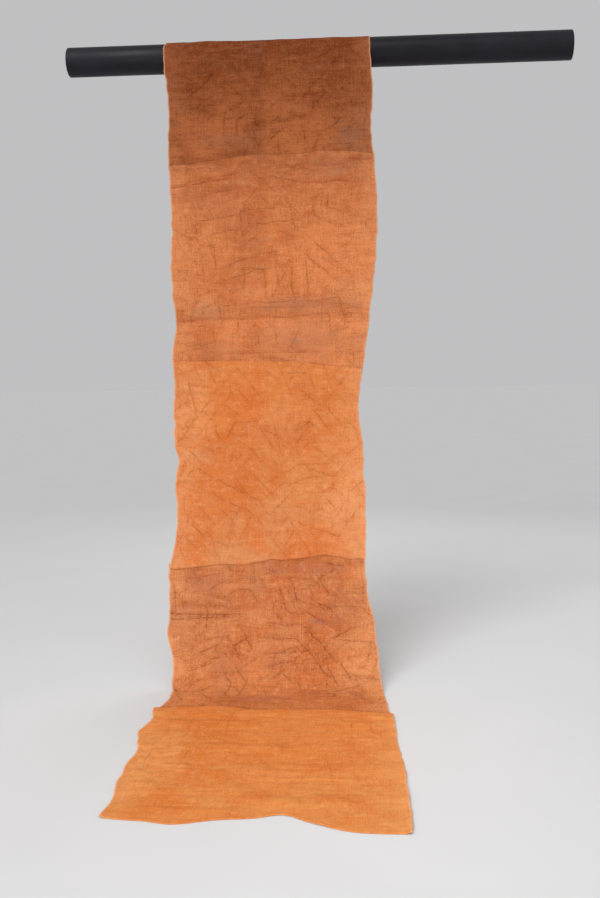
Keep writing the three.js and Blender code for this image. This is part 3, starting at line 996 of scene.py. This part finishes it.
def crease_lines(index):
    """The troughs of the creases that lie in a panel, darker the deeper they are."""
    head, foot = panel_span(index)
    marks = []
    for row in CREASES:
        if row.height < 0 and head < row.along < foot:
            across = np.arange(row.start, row.end, LINE_STEP)
            line = np.stack([across, row.along + row.slant * across], -1)
            fade = ease(np.minimum(across - row.start, row.end - across), 0, CREASE_END_FADE)
            depth = min(-row.height / DEEPEST_CREASE, 1)
            marks.append(Mark(line, CREASE_DARK * depth * fade, CREASE_LINE_WIDTH))
    return marks


# Stitches and loose fibres


def stitch_points(starts, ends, normals, widths):
    """The points of each stitch: a sunk tip, rings that bow out of the cloth, and the other tip."""
    run = ends - starts
    side = np.cross(run, normals)
    side /= np.linalg.norm(side, axis=1)[:, None]
    half = np.broadcast_to(widths, len(starts))[:, None] / 2 * MM
    points = [starts - normals * STITCH_SINK * MM]
    for ring in STITCH_RINGS:
        bow = STITCH_RISE * MM * math.sin(math.pi * ring)
        slim = STITCH_TIP + (1 - STITCH_TIP) * math.sin(math.pi * ring)
        for k in range(STITCH_SIDES):
            angle = 2 * math.pi * k / STITCH_SIDES
            offset = side * math.cos(angle) + normals * STITCH_FLATNESS * math.sin(angle)
            points.append(starts + run * ring + normals * bow + offset * slim * half)
    points.append(ends - normals * STITCH_SINK * MM)
    return np.stack(points, 1).reshape(-1, 3)


def stitch_faces(count):
    """The faces of so many stitches, all alike."""
    tip = 1 + len(STITCH_RINGS) * STITCH_SIDES
    last_ring = tip - STITCH_SIDES
    faces = []
    for k in range(STITCH_SIDES):
        following = (k + 1) % STITCH_SIDES
        faces.append((0, 1 + following, 1 + k))
        for low in range(1, last_ring, STITCH_SIDES):
            high = low + STITCH_SIDES
            faces.append((low + k, low + following, high + following, high + k))
        faces.append((last_ring + k, last_ring + following, tip))
    bases = range(0, count * (tip + 1), tip + 1)
    return [[base + i for i in face] for base in bases for face in faces]


def stitch_mesh(name, starts, ends, normals, widths, material):
    """Stitches as small tapered threads, joined in one piece."""
    points = stitch_points(starts, ends, normals, widths)
    return new_object(name, points, stitch_faces(len(starts)), material)


def outline_stitches(panel, mark, rng):
    """Stitches along an outline, on the face of the cloth and, half a step on, on its back."""
    size = len(mark.line)
    step = panel.pitch / LINE_STEP
    count = int(size / step)
    begin = np.arange(count) * step + rng.uniform(*STITCH_SHIFTS, count)
    finish = begin + STITCH_LENGTH / LINE_STEP * rng.uniform(*STITCH_LENGTH_SHARES, count)
    sewn = mark.strength > np.quantile(mark.strength, 1 - panel.kept)
    kept = sewn[(begin % size).astype(int)]
    kept &= rng.uniform(size=count) > STITCH_LOST
    width = STITCH_WIDTH * rng.uniform(*OUTLINE_WIDTH_SHARES) * rng.uniform(*STITCH_WIDTH_SHARES, count)
    sides = []
    for side, shift in ((1, 0), (-1, step / 2)):
        ends = [along_line(mark.line, (at + shift) % size, np.arange(size + 1)) for at in (begin, finish)]
        columns = (*ends, np.full(count, side), width)
        sides.append(Stitches(*(column[kept] for column in columns)))
    return sides


def is_clear(index, stitches):
    """Whether stitches are off the seams and edges, and not between the cloth and what it lies on."""
    panel = PANELS[index]
    across, along = ((stitches.starts + stitches.ends) / 2).T
    clear = along > head_at(index, across) + STITCH_OFF_SEAM
    clear &= along < foot_at(index, across) - STITCH_OFF_SEAM
    clear &= across > side_edge(panel, -1, along) + SEAM_HOLD
    clear &= across < side_edge(panel, 1, along) - SEAM_HOLD
    off_rod, grounded = held_shares(along)
    return clear & ((stitches.side > 0) | ((off_rod == 1) & (grounded == 0)))


def running_stitches(index, outlines):
    """The ends, normals and widths of running stitches on a panel's outlines, on its face and its back."""
    panel = PANELS[index]
    rng = np.random.default_rng(STITCH_SEED + index)
    rows = [row for mark in outlines for row in outline_stitches(panel, mark, rng)]
    stitches = Stitches(*(np.concatenate(columns) for columns in zip(*rows)))
    clear = is_clear(index, stitches)
    stitches = Stitches(*(column[clear] for column in stitches))
    points = []
    for across, along in (stitches.starts.T, stitches.ends.T):
        lift = layer_lift(panel, *panel_span(index), along) + stitches.side * CLOTH_THICKNESS / 2
        point, normal = surface(panel, across, along, lift)
        points.append(point)
    return points[0], points[1], normal * stitches.side[:, None], stitches.width


def seam_stitches(number):
    """Slanted overcast stitches over the edge that shows in a lap seam."""
    rng = np.random.default_rng(SEAM_STITCH_SEED + number)
    above, below = PANELS[number], PANELS[number + 1]
    foot_on_top = above.foot_layer > below.head_layer
    front, back = (above, below) if foot_on_top else (below, above)
    inward = -1 if foot_on_top else 1
    middle = seam_line(SEAMS[number], np.zeros(1))
    left = max(side_edge(panel, -1, middle)[0] for panel in (above, below)) + SEAM_STITCH_REACH
    right = min(side_edge(panel, 1, middle)[0] for panel in (above, below)) - SEAM_STITCH_REACH
    across = np.arange(left, right, SEAM_STITCH_PITCH)
    across = across + rng.uniform(*SEAM_STITCH_SHIFTS, len(across))
    edge = seam_line(SEAMS[number], across) - inward * SEAM_LAP / 2
    layers = {above.name: above.foot_layer, below.name: below.head_layer}
    points = []
    for panel, reach in ((front, inward), (back, -inward)):
        along = edge + reach * SEAM_STITCH_REACH * rng.uniform(*SEAM_STITCH_REACH_SHARES, len(across))
        shifted = across + reach * SEAM_STITCH_SLANT / 2
        lift = layers[panel.name] * LAYER_STEP + CLOTH_THICKNESS / 2
        point, normal = surface(panel, shifted, along, lift)
        points.append(point)
    return points[0], points[1], normal, STITCH_WIDTH


def loose_fibres(index):
    """The ends and normals of fibres that stick out of a panel's side edges and free hems."""
    panel = PANELS[index]
    rng = np.random.default_rng(FIBRE_SEED + index)
    across, along, lift, _ = panel_grid(index)
    borders = [(slice(None), 0, (-1, 0)), (slice(None), -1, (1, 0))]
    if index == 0:
        borders.append((0, slice(None), (0, -1)))
    if index == len(SEAMS):
        borders.append((-1, slice(None), (0, 1)))
    starts, ends = [], []
    for row, column, outward in borders:
        edge = np.stack([across[row, column], along[row, column], lift[row, column]], -1)
        count = int(len(edge) * MESH_STEP / FIBRE_PITCH)
        root = edge[rng.integers(0, len(edge), count)]
        reach = rng.uniform(*FIBRE_LENGTHS, count) * rng.uniform(*FIBRE_LENGTH_SHARES, count)
        slant = rng.normal(0, FIBRE_SLANT, count)
        tip = root.copy()
        tip[:, 0] += outward[0] * reach + abs(outward[1]) * slant
        tip[:, 1] += outward[1] * reach + abs(outward[0]) * slant
        starts.append(root)
        ends.append(tip)
    points = []
    for places in (np.concatenate(starts), np.concatenate(ends)):
        point, normal = surface(panel, *places.T)
        points.append(point)
    return points[0], points[1], normal, FIBRE_WIDTH


# Materials


class Shader:
    """A material's node tree, with short calls for the nodes that the cloth needs."""

    MIX_COLOURS = (6, 7)  # the numbers of a mix node's colour inputs and output
    MIX_RESULT = 2

    def __init__(self, name):
        self.material = bpy.data.materials.new(name)
        self.material.use_nodes = True
        self.nodes = self.material.node_tree.nodes
        self.links = self.material.node_tree.links
        self.surface = self.nodes["Principled BSDF"]

    def node(self, kind, settings=None, **inputs):
        made = self.nodes.new(kind)
        for name, value in (settings or {}).items():
            setattr(made, name, value)
        for name, value in inputs.items():
            self.put(made.inputs[name.replace("_", " ")], value)
        return made

    def put(self, socket, value):
        if isinstance(value, bpy.types.NodeSocket):
            self.links.new(value, socket)
        else:
            socket.default_value = value

    def math(self, operation, *values):
        made = self.node("ShaderNodeMath", {"operation": operation})
        for socket, value in zip(made.inputs, values):
            self.put(socket, value)
        return made.outputs[0]

    def product(self, *values):
        total = values[0]
        for value in values[1:]:
            total = self.math("MULTIPLY", total, value)
        return total

    def between(self, value, low, high, start=0, end=1):
        """value, from low to high, turned smoothly into start to end."""
        made = self.node(
            "ShaderNodeMapRange", {"interpolation_type": "SMOOTHSTEP"},
            Value=value, From_Min=low, From_Max=high, To_Min=start, To_Max=end,
        )
        return made.outputs[0]

    def mix(self, factor, *colours):
        """The first colour turned into the second as the factor goes from 0 to 1."""
        made = self.node("ShaderNodeMix", {"data_type": "RGBA"})
        self.put(made.inputs[0], factor)
        for number, colour in zip(self.MIX_COLOURS, colours):
            self.put(made.inputs[number], (*colour, 1) if isinstance(colour, tuple) else colour)
        return made.outputs[self.MIX_RESULT]

    def flat_noise(self, flat, noise):
        """Noise on the flat cloth, with its own scale across and along."""
        scaled = self.node("ShaderNodeVectorMath", {"operation": "MULTIPLY"})
        self.put(scaled.inputs[0], flat)
        self.put(scaled.inputs[1], (noise.across, noise.along, 1))
        made = self.node(
            "ShaderNodeTexNoise", {"noise_dimensions": "2D"},
            Vector=scaled.outputs[0], Scale=1, Detail=noise.detail, Roughness=noise.roughness,
        )
        return made.outputs["Fac"]

    def spots(self, flat, noise):
        """Noise on the flat cloth as it takes effect, up to 1."""
        return self.between(self.flat_noise(flat, noise), noise.low, noise.high, noise.start)

    def noise(self, scale, detail):
        """Noise in space, with its scale per metre."""
        place = self.node("ShaderNodeTexCoord").outputs["Object"]
        return self.node("ShaderNodeTexNoise", Vector=place, Scale=scale, Detail=detail).outputs["Fac"]

    def attribute(self, name):
        return self.node("ShaderNodeAttribute", {"attribute_name": name}).outputs["Fac"]

    def coat(self, colour, roughness, gloss):
        self.put(self.surface.inputs["Base Color"], colour)
        self.put(self.surface.inputs["Roughness"], roughness)
        self.put(self.surface.inputs["Specular IOR Level"], gloss)

    def roughen(self, height, depth, strength):
        bumped = self.node("ShaderNodeBump", Strength=strength, Distance=depth * MM, Height=height)
        self.put(self.surface.inputs["Normal"], bumped.outputs[0])


def cloth_places(shader):
    """Where a point is on the flat cloth, and the noise of the threads there."""
    flat = shader.node("ShaderNodeUVMap", {"uv_map": "cloth"}).outputs[0]
    parts = shader.node("ShaderNodeSeparateXYZ", Vector=flat)
    return Places(
        flat=flat,
        u=parts.outputs[0],
        v=parts.outputs[1],
        from_head=shader.attribute("from_head"),
        from_foot=shader.attribute("from_foot"),
        inset=shader.attribute("edge_inset"),
        weft=shader.flat_noise(flat, WEFT),
        warp=shader.flat_noise(flat, WARP),
        grain=shader.flat_noise(flat, GRAIN),
        mottle=shader.flat_noise(flat, MOTTLE),
    )


def dyed(shader, places, tone):
    """The dye: it changes away from the rod, is redder in blotches and paler along the sides."""
    start, end = tone.fade
    down = shader.between(shader.math("ABSOLUTE", places.v), start * MM, end * MM)
    colour = shader.mix(down, tone.head, tone.foot)
    for noise in BLOTCHES:
        blotch = shader.product(shader.spots(places.flat, noise), tone.blotches)
        colour = shader.mix(blotch, colour, tone.deep)
    ragged = shader.product(shader.flat_noise(places.flat, MARGIN_EDGE), MARGIN * MM)
    past_margin = shader.math("SUBTRACT", places.inset, ragged)
    near, far = MARGIN_FADE
    paler = shader.between(past_margin, near * MM, far * MM, MARGIN_PALE, 0)
    return shader.mix(paler, colour, tone.pale)


def threaded(shader, places, tone, colour):
    """Bands of weft, paler and darker threads both ways, and dark gaps where the weave is open."""
    layers = [(shader.flat_noise(places.flat, BANDS), tone.bands), (places.mottle, tone.mottle)]
    layers += [(threads, tone.threads) for threads in (places.weft, places.warp, places.grain)]
    for threads, strength in layers:
        colour = shader.mix(shader.between(threads, *PALE_RANGE, 0, strength), colour, tone.pale)
        colour = shader.mix(shader.between(threads, *DEEP_RANGE, 0, strength), colour, tone.deep)
    opened = shader.spots(places.flat, OPEN_PLACES)
    for noise in GAPS:
        gap = shader.spots(places.flat, noise)
        colour = shader.mix(shader.product(gap, opened, tone.gaps), colour, STAIN_AND_SHADE)
    return colour


def inside_patches(shader, places, patches):
    """How strongly a point lies in some patches, which have ragged edges."""
    ragged = shader.product(shader.flat_noise(places.flat, PATCH_EDGE), PATCH_RAGGED)
    inside = 0
    for patch in patches:
        aside = shader.math("DIVIDE", shader.math("SUBTRACT", places.u, patch.across * MM), patch.wide * MM)
        ahead = shader.math("DIVIDE", shader.math("SUBTRACT", places.v, patch.along * MM), patch.long * MM)
        away = shader.math("ADD", shader.product(aside, aside), shader.product(ahead, ahead))
        away = shader.math("ADD", shader.math("SQRT", away), ragged)
        inside = shader.math("MAXIMUM", inside, shader.between(away, *PATCH_RANGE, patch.strength, 0))
    return inside


def greyed(shader, places, panel, colour):
    """Greyer places with ragged edges: soft clouds all over and the panel's patches."""
    greying = shader.product(shader.spots(places.flat, CLOUDS), panel.tone.clouds)
    greying = shader.math("MAXIMUM", greying, inside_patches(shader, places, panel.greyed))
    broken = shader.between(shader.math("MAXIMUM", places.weft, places.warp), *GREY_THREADS)
    spotty = shader.between(places.mottle, *GREY_SPOTS)
    return shader.mix(shader.product(greying, broken, spotty), colour, panel.tone.grey)


def stained(shader, places, tone, colour):
    """Dark smudges beside the seams, and specks."""
    smudge = shader.product(shader.spots(places.flat, SMUDGES), shader.between(places.weft, *SMUDGE_THREADS))
    near, far = SMUDGE_FADE
    for distance, strength in zip((places.from_head, places.from_foot), tone.stains):
        beside = shader.between(distance, near * MM, far * MM, strength, 0)
        colour = shader.mix(shader.product(beside, smudge), colour, STAIN_AND_SHADE)
    speck = shader.product(shader.spots(places.flat, SPECKS), shader.spots(places.flat, SPECK_PLACES))
    return shader.mix(shader.product(speck, tone.specks), colour, STAIN_AND_SHADE)


def lines_on(shader, places):
    """How strong the lines are: thin, frayed, broken along their length, with a soft shade beside."""
    frayed = shader.product(shader.math("SUBTRACT", places.grain, NOISE_MIDDLE), LINE_FRAY)
    aside = shader.math("ABSOLUTE", shader.math("ADD", shader.attribute("line_aside"), frayed))
    strength = shader.attribute("line_strength")
    line = shader.between(aside, 0, 1, 1, 0)
    line = shader.product(line, strength, shader.spots(places.flat, LINE_BREAKS))
    patchy = shader.between(places.mottle, *LINE_SHADE_SPOTS)
    shade = shader.between(aside, 0, LINE_SHADE_REACH, LINE_SHADE, 0)
    return shader.math("MAXIMUM", line, shader.product(shade, strength, patchy))


def weave_height(shader, u, v):
    """Plain weave: warp and weft take turns on top, each thread rounded."""
    warp = shader.math("DIVIDE", u, WARP_PITCH * MM)
    weft = shader.math("DIVIDE", v, WEFT_PITCH * MM)
    warp_round = shader.math("ABSOLUTE", shader.math("SINE", shader.product(warp, math.pi)))
    weft_round = shader.math("ABSOLUTE", shader.math("SINE", shader.product(weft, math.pi)))
    parity = shader.math("ADD", shader.math("FLOOR", warp), shader.math("FLOOR", weft))
    over = shader.math("GREATER_THAN", shader.math("MODULO", shader.math("ABSOLUTE", parity), 2), 1 / 2)
    under = shader.math("SUBTRACT", 1, over)
    return shader.math("ADD", shader.product(over, warp_round), shader.product(under, weft_round))


def raffia_material(panel):
    """Dyed raffia in plain weave, worn, greyed and stained."""
    tone = panel.tone
    shader = Shader(panel.name)
    places = cloth_places(shader)
    colour = dyed(shader, places, tone)
    colour = shader.mix(inside_patches(shader, places, panel.faded), colour, tone.pale)
    colour = threaded(shader, places, tone, colour)
    colour = greyed(shader, places, panel, colour)
    colour = stained(shader, places, tone, colour)
    line = lines_on(shader, places)
    colour = shader.mix(line, colour, tone.line)
    # Painted highlight along the side edges
    edge_highlight = shader.between(places.inset, 0, EDGE_HIGHLIGHT_WIDTH * MM, EDGE_HIGHLIGHT_STRENGTH, 0)
    colour = shader.mix(edge_highlight, colour, EDGE_HIGHLIGHT_COLOUR)
    shader.coat(colour, shader.between(places.weft, *RAFFIA_ROUGHNESS), RAFFIA_GLOSS)
    threads = shader.product(shader.math("ADD", places.weft, places.warp), THREAD_RELIEF)
    height = shader.math("ADD", weave_height(shader, places.u, places.v), threads)
    height = shader.math("SUBTRACT", height, shader.product(line, LINE_DENT))
    shader.roughen(height, WEAVE_DEPTH, WEAVE_STRENGTH)
    return shader.material


def two_tone_material(name, dark, light, finish):
    """Twisted raffia thread or rubbed paint: a dark and a light tone in uneven spots."""
    shader = Shader(name)
    spots = shader.noise(finish.scale, finish.detail)
    colour = shader.mix(shader.between(spots, *finish.tones), dark, light)
    shader.coat(colour, shader.between(spots, *finish.roughness), finish.gloss)
    shader.roughen(shader.noise(finish.fine_scale, finish.fine_detail), finish.depth, finish.strength)
    return shader.material


def floor_material():
    shader = Shader("pale_floor")
    colour = shader.mix(shader.noise(FLOOR_SCALE, FLOOR_DETAIL), *FLOOR_GREYS)
    shader.coat(colour, FLOOR_ROUGHNESS, FLOOR_GLOSS)
    return shader.material


# Pieces


def make_rod():
    """The rod turned finely, with rounded rims at its flat ends, in near-black violet paint."""
    quarter = np.linspace(0, math.pi / 2, ROD_EDGE_STEPS + 1)
    rounding = ROD_RADIUS - ROD_EDGE_ROUND * (1 - np.sin(quarter))
    inset = ROD_EDGE_ROUND * (1 - np.cos(quarter))
    radius = np.concatenate([rounding, rounding[::-1]])[:, None]
    place = np.concatenate([inset, ROD_LENGTH - inset[::-1]])[:, None]
    around = np.linspace(0, 2 * math.pi, ROD_SEGMENTS, endpoint=False)
    x = MIDDLE_X + ROD_LEFT_END + place + np.zeros_like(around)
    points = np.stack([x, AXIS_Y + radius * np.cos(around), ROD_AXIS_HEIGHT + radius * np.sin(around)], -1)
    rings = np.arange(x.size).reshape(x.shape)
    faces = np.concatenate([strip(high, low) for low, high in zip(rings, rings[1:])]).tolist()
    faces += [rings[0].tolist(), rings[-1, ::-1].tolist()]
    paint = two_tone_material("rod_paint", *ROD_PAINT, ROD_FINISH)
    rod = new_object("rod_turned", points.reshape(-1, 3) * MM, faces, paint)
    rod.data.set_sharp_from_angle(angle=math.radians(ROD_SHARP))
    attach(rod, BODY)
    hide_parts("rod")


def make_panel(index, seam_thread, fibre):
    """A panel's sheet, with its stitches, its loose fibres and the thread of its upper seam."""
    panel = PANELS[index]
    outlines = panel_outlines(index)
    dark = tuple(THREAD_DARKER * part for part in panel.tone.line)
    outline_thread = two_tone_material(panel.name + "_thread", dark, panel.tone.line, THREAD_FINISH)
    piece = sheet_mesh(index, raffia_material(panel), outlines)
    piece.data.set_sharp_from_angle(angle=math.radians(CLOTH_SHARP))
    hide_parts(panel.node)
    added = [
        stitch_mesh(panel.name + "_stitches", *running_stitches(index, outlines), outline_thread),
        stitch_mesh(panel.name + "_fray", *loose_fibres(index), fibre),
    ]
    if index > 0:
        added.append(stitch_mesh(panel.name + "_seam", *seam_stitches(index - 1), seam_thread))
    for part in (piece, *added):
        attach(part, BODY)
    head, foot = panel_span(index)


def make_cloth():
    seam_thread = two_tone_material("seam_thread", *SEAM_THREAD, THREAD_FINISH)
    fibre = two_tone_material("loose_fibre", *LOOSE_FIBRE, THREAD_FINISH)
    for index in range(len(PANELS)):
        make_panel(index, seam_thread, fibre)


def make_floor():
    corners = ((-1, -1), (1, -1), (1, 1), (-1, 1))
    points = np.array([(x * FLOOR_HALF_SIZE, y * FLOOR_HALF_SIZE, -FLOOR_DROP) for x, y in corners])
    new_object("floor", points * MM, [[0, 1, 2, 3]], floor_material())


# Camera and light


def make_camera():
    """A camera that looks straight ahead but for a small turn, dip and roll."""
    data = bpy.data.cameras.new("camera")
    data.sensor_width = SENSOR
    data.lens = FOCAL_LENGTH * SENSOR / PICTURE_LONG_SIDE
    camera = add_object("camera", data)
    right, back, up = CAMERA_PLACE
    pose = Matrix.Translation(Vector((MIDDLE_X + right, AXIS_Y + back, up)) * MM)
    for angle, axis in ((CAMERA_TURN, "Z"), (LEVEL - CAMERA_DIP, "X"), (-CAMERA_ROLL, "Z")):
        pose = pose @ Matrix.Rotation(math.radians(angle), 4, axis)
    camera.matrix_world = pose
    bpy.context.scene.camera = camera


def make_softbox(box):
    data = bpy.data.lights.new(box.name, "AREA")
    data.shape = "RECTANGLE"
    data.size, data.size_y = box.size
    data.energy = box.watts
    data.spread = math.radians(box.spread)
    light = add_object(box.name, data)
    light.location = Vector(box.place)
    light.rotation_euler = (Vector(box.target) - Vector(box.place)).to_track_quat("-Z", "Y").to_euler()


def make_sky():
    """An even soft light from the front and the left."""
    data = bpy.data.lights.new("sky", "SUN")
    data.energy = SKY_STRENGTH
    data.angle = math.radians(SKY_SOFTNESS)
    high, left = math.radians(SKY_HEIGHT), math.radians(SKY_LEFT)
    to_light = Vector((-math.sin(left) * math.cos(high), -math.cos(left) * math.cos(high), math.sin(high)))
    add_object("sky", data).rotation_euler = to_light.to_track_quat("Z", "Y").to_euler()


def make_light():
    make_sky()
    for box in SOFTBOXES:
        make_softbox(box)
    world = bpy.data.worlds.new("room")
    world.use_nodes = True
    background = world.node_tree.nodes["Background"]
    background.inputs["Color"].default_value = (*ROOM_COLOUR, 1)
    background.inputs["Strength"].default_value = ROOM_STRENGTH
    bpy.context.scene.world = world
    bpy.context.scene.view_settings.view_transform = "Standard"


make_camera()
make_light()
make_floor()
make_rod()
make_cloth()
